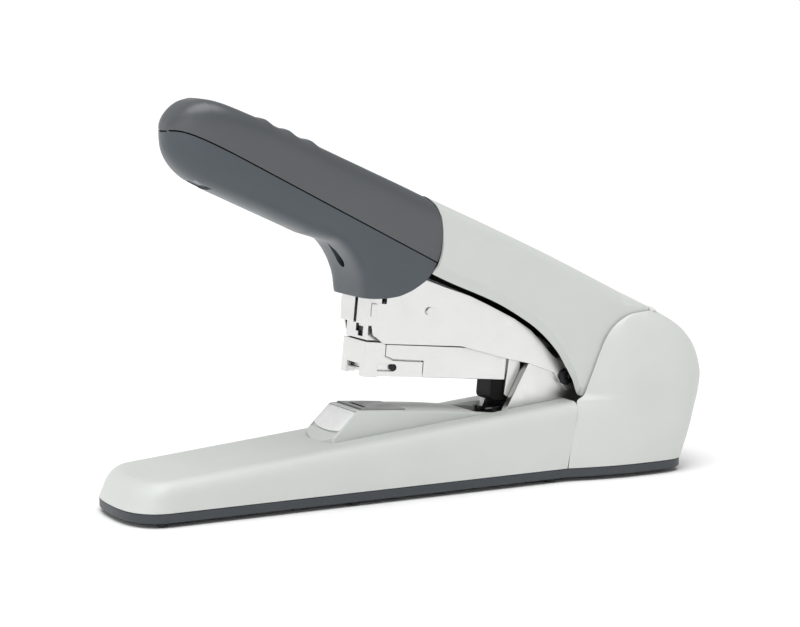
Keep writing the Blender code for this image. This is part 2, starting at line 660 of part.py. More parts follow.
def staple_pusher(pivot):
    """Pusher behind the strip, with a tongue on the guide rod."""
    piece = box("staple_pusher", (-3.8, -7.4, 49.6), (2.2, 7.4, 60.4), pivot, "black_plastic")
    cut(piece, box("cut_pusher", (-10, -5.8, 40), (10, 5.8, 58.6), pivot))
    join(piece, box("add_tongue", (-2.6, -3.6, 50.2), (1.8, 3.6, 59.0), pivot))
    cut(piece, rod_x("cut_tongue", (0.0, 54.0), [(-20, 1.3), (20, 1.3)], pivot, None, 10))


# ---------------------------------------------------------------- handle

HANDLE_TOP = ((-126.4, 173.9), (-124.6, 178.2), (-121.0, 182.6), (-116.0, 186.2), (-110.0, 187.7),
              (-100.0, 185.2), (-70.5, 172.4), (-40.2, 158.8), (-10.0, 145.2), (8.0, 136.6))
BAR_BOTTOM = ((-126.4, 173.3), (-126.3, 167.1), (-124.2, 161.2), (-119.8, 155.4), (-113.5, 150.3),
              (-105.5, 146.2), (-90.0, 139.0), (-74.3, 131.8), (-58.3, 124.4))
# Shroud front from the underside of the bar down to its lower edge, with the matching split positions
SHROUD = (((-50.0, 121.8), -50.0), ((-45.0, 119.8), -42.0), ((-41.0, 116.0), -36.5), ((-37.6, 111.0), -31.0),
          ((-35.1, 105.5), -26.0), ((-33.9, 100.0), -21.0), ((-33.4, 93.0), -15.0), ((-31.0, 86.0), -10.0),
          ((-14.0, 84.0), -3.0), ((8.0, 86.0), 8.0))
LOWER_EDGE = ((-60.0, 94.8), (-24.0, 94.5), (-17.4, 95.4), (-12.1, 97.7))
# Line across the side where the dark handle ends and the light arm cover begins
REAR_CURVE = ((-9.0, 99.2), (-4.0, 101.9), (-0.6, 104.7), (2.2, 108.8), (4.3, 113.4), (5.1, 118.0), (5.4, 123.0),
              (5.2, 128.0), (4.6, 132.0), (2.7, 136.8), (-0.2, 140.0), (-6.0, 146.0))
RIDGE_X = (-82.0, -70.5, -59.3)
RIDGE_HEIGHT = 1.1


def split_z(x):
    """Height of the line where top cover and lower shell meet."""
    return 109.7 + 0.521 * (2.8 - x) - 3.7 * math.exp(-(x + 126.4) / 4.0)


def tip_half(x, inset=0.0):
    """Half-width of the handle along its length, rounded at the tip."""
    reach = 24.0
    if x > -126.4 + reach:
        return HANDLE_HALF - inset
    share = (-126.4 + reach - x) / (reach - inset)
    return (HANDLE_HALF - inset) * max(1 - min(share, 1.0) ** 2.3, 0.0004) ** (1 / 2.3)


def half_section(split, end, half, power, steps):
    """Points from one side at the split, round the end point, to the other side."""
    side = []
    for i in range(steps + 1):
        angle = math.pi / 2 * i / steps
        t = math.sin(angle) ** (2 / power)
        y = half * math.cos(angle) ** (2 / power)
        side.append((split[0] + (end[0] - split[0]) * t, y, split[1] + (end[1] - split[1]) * t))
    return side + [(x, -y, z) for x, y, z in reversed(side[:-1])]


def behind_curve(shift):
    """Region behind the rear curve, as a side outline."""
    return [(x + shift, z) for x, z in REAR_CURVE] + [(60.0, 146.0), (60.0, 99.2)]


def handle_top_cover(pivot):
    """Dark top cover with three soft grip ridges."""
    def rings(inset, lift, stretch):
        result = []
        for x, z in curve_points(HANDLE_TOP, 26):
            x = max(x, -126.4 + inset + 0.02) if x < 7.9 else x + stretch
            ridge = sum(RIDGE_HEIGHT * math.exp(-((x - r) / 2.4) ** 2) for r in RIDGE_X)
            top = max(z + (0 if inset else ridge) - inset, split_z(x) + lift + 0.3)
            half = tip_half(x, inset)
            result.append(half_section((x, split_z(x) + lift), (x, top), half, 3.6, 6))
        return result

    piece = loft("handle_top_cover", rings(0.0, SPLIT_GAP / 2, 0.0), pivot, "dark_plastic")
    cut(piece, loft("cut_top_inside", rings(HANDLE_WALL, -6.0, 4.0), pivot))
    cut(piece, prism_y("cut_top_rear", behind_curve(0.0), 40, pivot))


def lower_shell_rings(inset, lift):
    """Sections of the lower shell, from the tip along the bar and down the shroud."""
    pairs = [(point, point[0], 2.5) for point in curve_points(BAR_BOTTOM, 16)]
    pairs += [(point, split_x, 2.8 + 2.4 * min(i / 4, 1.0)) for i, (point, split_x) in enumerate(SHROUD)]
    outline = offset_outline([pair[0] for pair in pairs], inset)
    result = []
    for (x, z), (point, split_x, power) in zip(outline, pairs):
        start = max(split_x, -126.4 + inset + 0.02)
        end_z = min(z, split_z(start) + lift - 0.3)
        end_x = x if split_x > -57 else start
        result.append(half_section((start, split_z(start) + lift), (end_x, end_z), tip_half(start, inset), power, 6))
    return result


def handle_lower_shell(pivot):
    """Dark lower shell whose shroud covers the head of the arm."""
    piece = loft("handle_lower_shell", lower_shell_rings(0.0, -SPLIT_GAP / 2), pivot, "dark_plastic")
    cut(piece, loft("cut_lower_inside", lower_shell_rings(HANDLE_WALL, 8.0), pivot))
    below = [*LOWER_EDGE, *REAR_CURVE[:-2], (60.0, 136.8), (60.0, 60.0), (-60.0, 60.0)]
    cut(piece, prism_y("cut_lower_edge", below, 40, pivot))
    drop = [(0.0, 119.5), (-2.3, 115.8), *arc((0.0, 111.0), 3.4, 180, 360, 8), (2.3, 115.8)]
    rings = [[(x, y, z) for y, z in drop] for x in (-60.0, -33.0)]
    cut(piece, loft("cut_drop_hole", rings, pivot))


COVER_TOP = ((-4.0, 142.2), (5.0, 138.2), (37.7, 123.6), (65.9, 110.6), (94.9, 96.4), (110.0, 88.8), (124.0, 81.4))
COVER_LOWER = ((-4.0, 106.6), (7.1, 101.1), (35.6, 88.6), (50.0, 80.2), (58.1, 74.5), (69.6, 62.9), (74.5, 55.2),
               (78.4, 48.5), (82.0, 40.4), (82.7, 42.3), (86.2, 49.8), (91.2, 61.2), (94.6, 67.6), (98.0, 71.7),
               (102.3, 75.2), (107.1, 77.7), (111.8, 79.3), (117.8, 80.0), (124.0, 80.2))


def arm_cover(pivot):
    """Light cover of the rear arm: an upturned U whose rear edge follows the housing's cheeks."""
    def section(x, inset):
        top = spread(COVER_TOP, x) - inset
        low = spread(COVER_LOWER, x)
        height = max(top - low, 0.6)
        radius = min(6.5, 0.45 * height)

        def half(z):
            return min(24.2, 20.3 + (spread(COVER_TOP, x) - z) * 0.11) - inset

        side = [(half(low), low), (half(low), low + min(1.0, 0.1 * height)), (half(top - radius), top - radius)]
        side += [(half(top) - radius + radius * math.cos(a), top - radius + radius * math.sin(a))
                 for a in (math.pi / 8, math.pi / 4, 3 * math.pi / 8)]
        side.append((half(top) - radius, top))
        return side

    stations = [COVER_FRONT_X, 7.1, 20.0, 35.6, 50.0, 58.1, 64.0, 69.6, 74.5, 78.4, 82.0, 82.7, 86.2, 91.2, 94.6, 98.0,
                102.3, 107.1, 111.8, 117.8, COVER_END_X]
    rings = []
    for x in stations:
        outer = section(x, 0.0)
        inner = section(x, min(HANDLE_WALL, 0.45 * (spread(COVER_TOP, x) - spread(COVER_LOWER, x))))
        loop = outer + [(-y, z) for y, z in reversed(outer)]
        loop += [(-y, z) for y, z in inner] + [(y, z) for y, z in reversed(inner)]
        rings.append([(x, y, z) for y, z in loop])
    piece = loft("arm_cover", rings, pivot, "light_plastic")
    front = [(x + 0.6, z) for x, z in REAR_CURVE] + [(-30.0, 146.0), (-30.0, 99.2)]
    cut(piece, prism_y("cut_cover_front", front, 40, pivot))


def handle_lever(pivot):
    """Steel lever inside the handle: a U that turns on the handle axle."""
    rear = arc(HANDLE_PIVOT, 8.5, 60, -120, 7)
    outline = [*rear, (100, 52), (86, 62.5), (70, 72.0), (40, 88.5), (8, 102.0), (-14, 112.5), (-28, 117.0),
               (-28, 134.0), (0, 129.5), (60, 101.5), (98, 78.0)]
    piece = prism_y("handle_lever", outline, LEVER_HALF, pivot, "dark_steel")
    inner = [(150, 20), (150, 120), (96, 120), (96, 77.4), (59.4, 99.8), (0, 127.8), (-40, 134.2), (-40, 20)]
    cut(piece, prism_y("cut_lever_inside", inner, LEVER_HALF - STEEL, pivot))
    bores = ((HANDLE_PIVOT, AXLE_RADIUS + GAP), (PRESS_PIN, PRESS_PIN_RADIUS + GAP))
    for i, (centre, radius) in enumerate(bores):
        cut(piece, rod_y(f"cut_lever_bore_{i}", centre, [(-30, radius), (30, radius)], pivot))


PRESS_PIN = (-19.0, 121.0)
PRESS_PIN_RADIUS = 2.4


def handle_fittings(pivot):
    """Press pin that drives the hammer, and the screws that hold the top cover."""
    rod_y("press_pin", PRESS_PIN, [(-18.2, PRESS_PIN_RADIUS), (18.2, PRESS_PIN_RADIUS)], pivot, "dark_steel", 12)
    for i, (x, z) in enumerate(((-100.0, 148.5), (-84.0, 141.2))):
        shape = [(z, 2.6), (z + 2, 2.6), (z + 2, 1.5), (z + 14, 1.5)]
        rod_z(f"handle_screw_{i + 1}", (x, 0.0), shape, pivot, "spring_steel", 10)


# ---------------------------------------------------------------- build

def build():
    for obj in list(bpy.data.objects):
        bpy.data.objects.remove(obj, do_unlink=True)
    arm = Pivot("arm_pivot", (ARM_PIVOT[0], 0, ARM_PIVOT[1]), tilt_deg=ARM_TILT_DEG)
    handle = Pivot("handle_pivot", (HANDLE_PIVOT[0], 0, HANDLE_PIVOT[1]))
    table = Pivot("table_pivot", (TABLE_PIVOT[0], 0, TABLE_PIVOT[1]))
    casing = Pivot("casing_slide", (-31.5, 0, 45.5), parent=arm)
    pusher = Pivot("pusher_slide", (0, 0, 54.0), parent=arm)
    blade = Pivot("driver_slide", (-29.3, 0, 61.4), parent=arm)

    tray()
    feet()
    tray_screws()
    base_cover()
    rear_housing()
    chassis()
    axles()
    clincher_block()
    springs()

    clinch_table(table)
    table_window(table)
    anvil_plate(table)
    for side, word in SIDES:
        hinge = Pivot(f"wing_pivot_{word}", (ANVIL_SLOT_X, side * WING_PIVOT[0], WING_PIVOT[1]), parent=table)
        wing(side, word, hinge)

    arm_frame(arm)
    frame_rivets(arm)
    blade_guide(arm)
    magazine_channel(arm)
    bracket_plates(arm)
    lift_buffer(arm)
    driver(blade)

    front_casing(casing)
    latch_pins(casing)
    magazine_rail(arm)
    staples(arm)
    rail_fittings(arm)
    staple_pusher(pusher)

    handle_top_cover(handle)
    handle_lower_shell(handle)
    arm_cover(handle)
    handle_lever(handle)
    handle_fittings(handle)


build()
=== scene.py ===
"""Looks of a heavy-duty flat-clinch desk stapler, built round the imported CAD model.

The moulded shells are made again here as fine surfaces from the same sections as the
CAD solids, the pressed steel pieces get rolled edges, and every piece gets a
procedural material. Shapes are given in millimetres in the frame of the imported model:
X runs from the nose to the back, Y to the right side, Z up from the feet.
"""
import json
import math

import bmesh
import bpy
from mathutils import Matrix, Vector

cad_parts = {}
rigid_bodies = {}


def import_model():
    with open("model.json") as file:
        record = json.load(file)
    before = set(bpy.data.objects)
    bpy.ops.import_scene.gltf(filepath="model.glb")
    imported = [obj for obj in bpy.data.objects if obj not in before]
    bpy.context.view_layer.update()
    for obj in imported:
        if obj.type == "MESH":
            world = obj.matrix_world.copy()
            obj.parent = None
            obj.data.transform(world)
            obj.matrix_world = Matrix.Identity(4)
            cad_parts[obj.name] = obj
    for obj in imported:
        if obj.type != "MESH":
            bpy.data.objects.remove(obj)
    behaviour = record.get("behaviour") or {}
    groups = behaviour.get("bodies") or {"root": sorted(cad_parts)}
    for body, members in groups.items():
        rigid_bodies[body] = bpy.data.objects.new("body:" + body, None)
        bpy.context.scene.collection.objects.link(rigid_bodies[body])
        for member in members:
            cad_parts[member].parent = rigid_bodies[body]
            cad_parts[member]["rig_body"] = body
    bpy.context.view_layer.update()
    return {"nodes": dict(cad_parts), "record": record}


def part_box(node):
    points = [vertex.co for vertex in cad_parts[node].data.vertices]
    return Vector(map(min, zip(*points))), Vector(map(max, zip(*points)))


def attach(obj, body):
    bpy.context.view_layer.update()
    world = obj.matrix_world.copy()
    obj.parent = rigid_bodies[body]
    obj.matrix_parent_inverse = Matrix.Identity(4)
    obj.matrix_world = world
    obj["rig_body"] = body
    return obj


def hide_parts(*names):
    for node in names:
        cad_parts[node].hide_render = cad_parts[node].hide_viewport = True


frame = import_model()

MM = 0.001
ARM_PIVOT = (78.5, 49.0)
ARM_TILT = math.radians(5.9)
HANDLE_AXIS = (117.0, 47.0)
SIDES = ((-1, "left"), (1, "right"))


# ---------------------------------------------------------------- curves

def smooth(points, count):
    """Points spaced along a smooth curve through the given ones."""
    last = len(points) - 1
    result = []
    for i in range(count):
        place = last * i / (count - 1)
        k = min(int(place), last - 1)
        t = place - k
        p0, p1 = Vector(points[max(k - 1, 0)]), Vector(points[k])
        p2, p3 = Vector(points[k + 1]), Vector(points[min(k + 2, last)])
        value = 2 * p1 + (p2 - p0) * t + (2 * p0 - 5 * p1 + 4 * p2 - p3) * t * t
        value += (3 * p1 - p0 - 3 * p2 + p3) * t ** 3
        result.append(tuple(value / 2))
    return result


def read(points, value):
    """Smooth monotone reading of a table of (position, value) pairs."""
    last = len(points) - 1
    if value <= points[0][0]:
        return points[0][1]
    if value >= points[last][0]:
        return points[last][1]
    slopes = [(b[1] - a[1]) / (b[0] - a[0]) for a, b in zip(points, points[1:])]
    k = next(i for i in range(last) if value <= points[i + 1][0])

    def tangent(i):
        if i in (0, last):
            return slopes[0 if i == 0 else -1]
        before, after = slopes[i - 1], slopes[i]
        return 0.0 if before * after <= 0 else 2 * before * after / (before + after)

    width = points[k + 1][0] - points[k][0]
    t = (value - points[k][0]) / width
    low, high = points[k][1], points[k + 1][1]
    start, end = tangent(k) * width, tangent(k + 1) * width
    return (low * (2 * t ** 3 - 3 * t * t + 1) + high * (3 * t * t - 2 * t ** 3)
            + start * (t ** 3 - 2 * t * t + t) + end * (t ** 3 - t * t))


def arc(middle, radius, start_deg, end_deg, steps):
    """Points along an arc, both ends included."""
    angles = [math.radians(start_deg + (end_deg - start_deg) * i / steps) for i in range(steps + 1)]
    return [(middle[0] + radius * math.cos(a), middle[1] + radius * math.sin(a)) for a in angles]


def quarter(share, power):
    """A point of a unit superellipse's quarter, from (1, 0) to (0, 1)."""
    angle = math.pi / 2 * share
    return max(math.cos(angle), 0.0) ** (2 / power), math.sin(angle) ** (2 / power)


def spaced(start, end, count):
    """Evenly spaced numbers, both ends included."""
    return [start + (end - start) * i / (count - 1) for i in range(count)]


def tilted(x, z):
    """A side-view point of the arm, given with the magazine flat, at its rest tilt."""
    dx, dz = x - ARM_PIVOT[0], z - ARM_PIVOT[1]
    c, s = math.cos(ARM_TILT), math.sin(ARM_TILT)
    return ARM_PIVOT[0] + dx * c + dz * s, ARM_PIVOT[1] + dz * c - dx * s


# ---------------------------------------------------------------- mesh tools

def add_object(name, data):
    """A new object in the scene for a mesh, camera or light."""
    obj = bpy.data.objects.new(name, data)
    bpy.context.scene.collection.objects.link(obj)
    return obj


def from_faces(name, points, faces, sharp_deg=38.0):
    """A mesh object from points in millimetres, its faces turned outward."""
    mesh = bpy.data.meshes.new(name)
    work = bmesh.new()
    corners = [work.verts.new(Vector(p) * MM) for p in points]
    for face in faces:
        work.faces.new([corners[i] for i in face])
    bmesh.ops.remove_doubles(work, verts=work.verts, dist=0.01 * MM)
    bmesh.ops.recalc_face_normals(work, faces=work.faces)
    middle = sum((corner.co for corner in work.verts), Vector()) / len(work.verts)
    outward = sum((f.calc_center_median() - middle).dot(f.normal) * f.calc_area() for f in work.faces)
    if outward < 0:
        bmesh.ops.reverse_faces(work, faces=work.faces)
    work.to_mesh(mesh)
    work.free()
    mesh.shade_smooth()
    mesh.set_sharp_from_angle(angle=math.radians(sharp_deg))
    return add_object(name, mesh)


def sheet(name, rows, caps=(), **options):
    """A sheet of quads through equal rows of points, with extra faces on request."""
    count = len(rows[0])
    faces = []
    for i in range(len(rows) - 1):
        for j in range(count - 1):
            a = i * count + j
            faces.append((a, a + 1, a + count + 1, a + count))
    points = [p for row in rows for p in row]
    for cap in caps:
        faces.append(tuple(range(len(points), len(points) + len(cap))))
        points += cap
    return from_faces(name, points, faces, **options)


def prism(name, outline, low, high, along="Y"):
    """A flat outline made solid between two places along an axis."""
    count = len(outline)
    if along == "Y":
        points = [(u, place, v) for place in (low, high) for u, v in outline]
    elif along == "X":
        points = [(place, u, v) for place in (low, high) for u, v in outline]
    else:
        points = [(u, v, place) for place in (low, high) for u, v in outline]
    faces = [tuple(range(count)), tuple(range(count, 2 * count))]
    faces += [(i, (i + 1) % count, count + (i + 1) % count, count + i) for i in range(count)]
    return from_faces(name, points, faces)


def block(name, low, high):
    """A plain cutter between two corners."""
    return prism(name, [(low[0], low[2]), (high[0], low[2]), (high[0], high[2]), (low[0], high[2])],
                 low[1], high[1])


def bake(obj):
    """Apply an object's modifiers to its mesh."""
    graph = bpy.context.evaluated_depsgraph_get()
    mesh = bpy.data.meshes.new_from_object(obj.evaluated_get(graph))
    obj.modifiers.clear()
    obj.data = mesh


def carve(obj, *cutters, operation="DIFFERENCE"):
    """Cut with helpers, which are then removed."""
    for cutter in cutters:
        modifier = obj.modifiers.new("carve", "BOOLEAN")
        modifier.operation = operation
        modifier.solver = "EXACT"
        modifier.object = cutter
    bake(obj)
    for cutter in cutters:
        bpy.data.objects.remove(cutter)


def joined(obj, other):
    """Add another object's mesh to an object and drop the other."""
    work = bmesh.new()
    work.from_mesh(obj.data)
    work.from_mesh(other.data)
    work.to_mesh(obj.data)
    work.free()
    bpy.data.objects.remove(other)
    return obj


def wall(obj, thickness, even=False):
    """Give a sheet its wall, to the inside."""
    solid = obj.modifiers.new("wall", "SOLIDIFY")
    solid.thickness = thickness * MM
    solid.offset = -1.0
    solid.use_even_offset = even
    solid.use_quality_normals = even


def thicken(obj, thickness, bevel):
    """Give a sheet an even wall, to the inside, and roll its edges."""
    wall(obj, thickness, even=True)
    roll(obj, bevel)


def roll(obj, bevel, segments=3, angle_deg=40.0):
    """Roll the sharp edges, with flat faces kept flat in the shading."""
    obj.data.shade_smooth()
    edge = obj.modifiers.new("edge", "BEVEL")
    edge.width = bevel * MM
    edge.segments = segments
    edge.limit_method = "ANGLE"
    edge.angle_limit = math.radians(angle_deg)
    edge.harden_normals = True
    bake(obj)


def refined(node, bevel):
    """A copy of a CAD node's solid with rolled edges, which stands for it."""
    mesh = bpy.data.meshes.new(node + "_fine")
    work = bmesh.new()
    work.from_mesh(frame["nodes"][node].data)
    bmesh.ops.remove_doubles(work, verts=work.verts, dist=0.002 * MM)
    bmesh.ops.dissolve_limit(work, angle_limit=math.radians(1.5), verts=work.verts, edges=work.edges)
    for edge in work.edges:
        edge.smooth = True
    work.to_mesh(mesh)
    work.free()
    for stored in [a.name for a in mesh.attributes if "normal" in a.name]:
        mesh.attributes.remove(mesh.attributes[stored])
    obj = add_object(node + "_fine", mesh)
    roll(obj, bevel, angle_deg=30.0)
    place(obj, node)


SLOT_OF = {part["node"]: part["material_slot"] for part in frame["record"]["subparts"]}


def place(obj, node):
    """Ride on the node's body, stand for the node, and take its finish."""
    body = frame["nodes"][node]["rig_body"]
    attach(obj, body)
    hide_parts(node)
    obj.data.materials.append(MATERIALS[SLOT_OF[node]])


# ---------------------------------------------------------------- materials

class Nodes:
    """Short way to add and link shader nodes of one material."""

    def __init__(self, name, **values):
        self.material = bpy.data.materials.new(name)
        self.material.use_nodes = True
        self.tree = self.material.node_tree
        self.shader = self.tree.nodes["Principled BSDF"]
        for key, value in values.items():
            self.shader.inputs[key.replace("_", " ")].default_value = value
        self.coordinates = self.add("ShaderNodeTexCoord").outputs["Object"]

    def add(self, kind, **settings):
        node = self.tree.nodes.new(kind)
        for key, value in settings.items():
            setattr(node, key, value)
        return node

    def noise(self, scale, detail=3.0, stretch=None):
        """A noise value over the surface, its scale in patterns per millimetre."""
        node = self.add("ShaderNodeTexNoise")
        node.inputs["Scale"].default_value = scale / MM
        node.inputs["Detail"].default_value = detail
        source = self.coordinates
        if stretch:
            mapping = self.add("ShaderNodeMapping")
            mapping.inputs["Scale"].default_value = stretch
            self.tree.links.new(source, mapping.inputs["Vector"])
            source = mapping.outputs["Vector"]
        self.tree.links.new(source, node.inputs["Vector"])
        return node.outputs["Fac"]

    def ranged(self, value, low, high):
        """A noise value turned into a range."""
        node = self.add("ShaderNodeMapRange")
        node.inputs["From Min"].default_value = 0.3
        node.inputs["From Max"].default_value = 0.7
        node.inputs["To Min"].default_value = low
        node.inputs["To Max"].default_value = high
        self.tree.links.new(value, node.inputs["Value"])
        return node.outputs["Result"]

    def blended(self, value, first, second):
        """Two colours mixed by a value."""
        node = self.add("ShaderNodeMix", data_type="RGBA")
        self.tree.links.new(value, node.inputs["Factor"])
        node.inputs["A"].default_value = (*first, 1.0)
        node.inputs["B"].default_value = (*second, 1.0)
        return node.outputs["Result"]

    def link(self, value, socket):
        self.tree.links.new(value, self.shader.inputs[socket])

    def bump(self, height, strength, distance, before=None):
        """Surface relief, its depth in millimetres."""
        node = self.add("ShaderNodeBump")
        node.inputs["Strength"].default_value = strength
        node.inputs["Distance"].default_value = distance * MM
        self.tree.links.new(height, node.inputs["Height"])
        if before:
            self.tree.links.new(before, node.inputs["Normal"])
        self.link(node.outputs["Normal"], "Normal")
        return node.outputs["Normal"]


def shade(colour, share):
    """A colour made lighter or darker by a share."""
    return tuple(min(channel * (1 + share), 1.0) for channel in colour)


def mottled(made, value, colour, darker, lighter):
    """Colour the surface between a darker and a lighter shade, by a noise value."""
    blend = made.blended(made.ranged(value, 0, 1), shade(colour, -darker), shade(colour, lighter))
    made.link(blend, "Base Color")


def moulded(name, colour, roughness, grain_mm=0.45, depth=0.012, mottle=0.02, specular=0.5):
    """Moulded plastic: fine spark-eroded grain, faint tone drift and uneven gloss."""
    made = Nodes(name, Specular_IOR_Level=specular)
    mottled(made, made.noise(0.03, 4.0), colour, mottle, mottle)
    made.link(made.ranged(made.noise(0.08, 5.0), roughness - 0.03, roughness + 0.04), "Roughness")
    fine = made.bump(made.noise(1 / grain_mm, 2.0), 0.35, depth)
    made.bump(made.noise(0.05, 2.0), 0.08, 0.2, fine)
    return made.material


def steel(name, colour, roughness, streak=(1.0, 12.0, 12.0), tone=0.03, depth=0.004):
    """Rolled and plated steel: fine streaks along one way, clouded gloss."""
    made = Nodes(name, Metallic=1.0)
    mottled(made, made.noise(0.25, 4.0, streak), colour, tone, tone)
    made.link(made.ranged(made.noise(0.12, 4.0), roughness - 0.04, roughness + 0.06), "Roughness")
    made.bump(made.noise(0.6, 3.0, streak), 0.25, depth)
    return made.material


def rubbery(name, colour):
    """Matt rubber with a dusty bloom."""
    made = Nodes(name, Specular_IOR_Level=0.3, Sheen_Weight=0.15)
    mottled(made, made.noise(0.6, 4.0), colour, 0.2, 0.25)
    made.link(made.ranged(made.noise(0.9, 3.0), 0.7, 0.88), "Roughness")
    made.bump(made.noise(3.0, 3.0), 0.5, 0.02)
    return made.material


def glossy_window(name, colour):
    """Clear glossy panel over a white ground."""
    made = Nodes(name, Coat_Weight=1.0, Coat_Roughness=0.03, Specular_IOR_Level=0.6)
    mottled(made, made.noise(0.2, 2.0), colour, 0.03, 0.02)
    made.link(made.ranged(made.noise(0.3, 2.0), 0.08, 0.14), "Roughness")
    return made.material


MATERIALS = {
    "light_plastic": moulded("light_grey_plastic", (0.605, 0.628, 0.605), 0.42),
    "dark_plastic": moulded("slate_plastic", (0.085, 0.092, 0.098), 0.36, depth=0.008),
    "lower_dark_plastic": moulded("blue_slate_plastic", (0.062, 0.075, 0.088), 0.36, depth=0.008),
    "tray_plastic": moulded("strip_plastic", (0.038, 0.046, 0.054), 0.45),
    "black_plastic": moulded("black_plastic", (0.004, 0.004, 0.004), 0.55, specular=0.2),
    "rubber": rubbery("foot_rubber", (0.022, 0.024, 0.027)),
    "bright_steel": steel("plated_steel", (0.75, 0.75, 0.74), 0.31, tone=0.015, depth=0.0015),
    "anvil_steel": steel("anvil_steel", (0.30, 0.305, 0.30), 0.36, (12.0, 1.0, 12.0), 0.06),
    "dark_steel": steel("black_oxide_steel", (0.035, 0.036, 0.04), 0.4, tone=0.15),
    "spring_steel": steel("spring_steel", (0.45, 0.45, 0.46), 0.3),
    "white_window": glossy_window("window_panel", (0.94, 0.94, 0.94)),
    "staple_wire": steel("staple_wire", (0.62, 0.62, 0.63), 0.25, (12.0, 1.0, 1.0)),
}


# ---------------------------------------------------------------- base shells

FRONT_X = -154.0
BASE_HALF = 30.5
NOSE_START_X = -134.5
NOSE_POWER = 2.6
NOSE_DRAFT = 0.36  # how far the nose leans back per millimetre of height
SHELL_BOTTOM = 6.6
CREASE_FOOT_X = 70.0
CREASE_RUN = 8.0
CREASE_FOOT_Z = 2.0
CREASE_HEIGHT = 36.0
COVER_SLOPE = 0.085
COVER_TOP_AT_0 = 31.5
FILLET_DEPTH = 8.0
FILLET_INSET = 7.4
FILLET_START = 0.6
TABLE_HALF = 14.6
TABLE_FRONT_X = -51.6
TABLE_BOW = 3.5
CHASSIS_HALF = 13.8
HOLE_STEP_X = 44.4


def cover_top(x):
    """Height of the base cover's sloping top."""
    return COVER_TOP_AT_0 + COVER_SLOPE * x


def crease_x(z):
    """The slanted seam between base cover and rear housing."""
    share = min(max(z - CREASE_FOOT_Z, 0.0) / CREASE_HEIGHT, 1.0)
    return CREASE_FOOT_X + CREASE_RUN * share ** 1.5


def nose_outline(inset, steps=26):
    """Plan of the base from one straight side round the nose to the other."""
    half = BASE_HALF - inset
    reach = NOSE_START_X - (FRONT_X + inset)
    side = []
    for i in range(steps + 1):
        across, along = quarter(i / steps, NOSE_POWER)
        side.append((NOSE_START_X - reach * along, half * across))
    return side + [(x, -y) for x, y in reversed(side[:-1])]


def cover_row(inset, depth, side_steps=14):
    """One ring of the base cover, from the crease round the nose and back, at a depth below its top."""
    half = BASE_HALF - inset
    rear_z = SHELL_BOTTOM if depth is None else cover_top(CREASE_FOOT_X + CREASE_RUN) - depth
    row = []
    for x in spaced(crease_x(rear_z), NOSE_START_X + 1, side_steps):
        row.append((x, half))
    row += nose_outline(inset)
    row += [(x, -half) for x in spaced(NOSE_START_X + 1, crease_x(rear_z), side_steps)]
    result = []
    for x, y in row:
        z = SHELL_BOTTOM if depth is None else cover_top(x) - depth
        share = max(NOSE_START_X - x, 0.0) / (NOSE_START_X - FRONT_X)
        result.append((x + NOSE_DRAFT * share * (z - SHELL_BOTTOM), y, z))
    return result


def table_front(offset, steps):
    """Bowed front edge of the clinch table in plan."""
    half = TABLE_HALF + offset
    return [(TABLE_FRONT_X - offset + TABLE_BOW * (y / half) ** 2, y) for y in spaced(half, -half, steps)]


def base_cover():
    """Front cover with its soft upper edge and the opening for table and chassis."""
    profile = [(0.0, None), (FILLET_START, FILLET_DEPTH)]
    steps = 12
    for i in range(1, steps + 1):
        angle = math.pi / 2 * i / steps
        inset = FILLET_START + (FILLET_INSET - FILLET_START) * (1 - math.cos(angle))
        profile.append((inset, FILLET_DEPTH * (1 - math.sin(angle))))
    rows = [cover_row(*step) for step in profile]
    for share in (0.8, 0.6, 0.4, 0.2, 0.0):
        rows.append([(x, y * share, cover_top(x)) for x, y, _ in rows[steps + 1]])
    shell = sheet("base_cover_shell", rows)
    thicken(shell, thickness=2.0, bevel=0.3)
    edge = TABLE_HALF + 0.5
    hole = [(90.0, -CHASSIS_HALF), (HOLE_STEP_X, -CHASSIS_HALF), (HOLE_STEP_X, -edge),
            *reversed(table_front(0.5, 17)), (HOLE_STEP_X, edge), (HOLE_STEP_X, CHASSIS_HALF),
            (90.0, CHASSIS_HALF)]
    carve(shell, prism("table_hole", hole, 20.0, 60.0, along="Z"))
    roll(shell, 0.25, 2, 50.0)
    place(shell, "base_cover")


HOUSING_POWER = 5.0
HOUSING_WALL = 1.0
# (height, value) pairs of the rear housing
HOUSING_FRONT_X = ((2.0, 70.3), (18.4, 72.8), (30.8, 76.1), (38.6, 78.4), (41.0, 82.6), (47.6, 85.8),
                   (54.0, 88.7), (60.8, 91.6), (67.0, 94.9), (71.0, 98.3), (74.5, 102.6), (77.0, 107.4),
                   (78.6, 112.0), (79.2, 118.0), (79.6, 124.0), (81.2, 124.0))
HOUSING_REAR_X = ((2.0, 139.2), (6.6, 140.2), (18.4, 145.1), (30.8, 149.3), (39.2, 152.2), (47.6, 154.0),
                  (53.3, 153.6), (60.8, 151.6), (67.0, 147.8), (73.0, 141.0), (77.5, 133.2), (79.6, 129.0),
                  (80.8, 126.7), (81.2, 126.0))
HOUSING_FRONT_HALF = ((2.0, 30.6), (18.4, 30.3), (26.0, 29.9), (30.8, 29.3), (34.0, 28.2), (36.5, 27.0),
                      (38.6, 26.1), (42.0, 25.5), (50.0, 25.4), (62.0, 25.4), (67.0, 25.1),
                      (71.0, 24.3), (77.0, 22.8), (79.6, 21.6), (81.2, 19.0))
HOUSING_MIDDLE_HALF = ((2.0, 36.2), (6.6, 36.5), (20.0, 36.5), (31.0, 36.0), (39.0, 35.3), (47.6, 34.2),
                       (53.3, 32.8), (60.8, 30.6), (67.0, 28.4), (73.0, 25.9), (77.0, 23.8), (79.6, 21.6),
                       (81.2, 19.0))


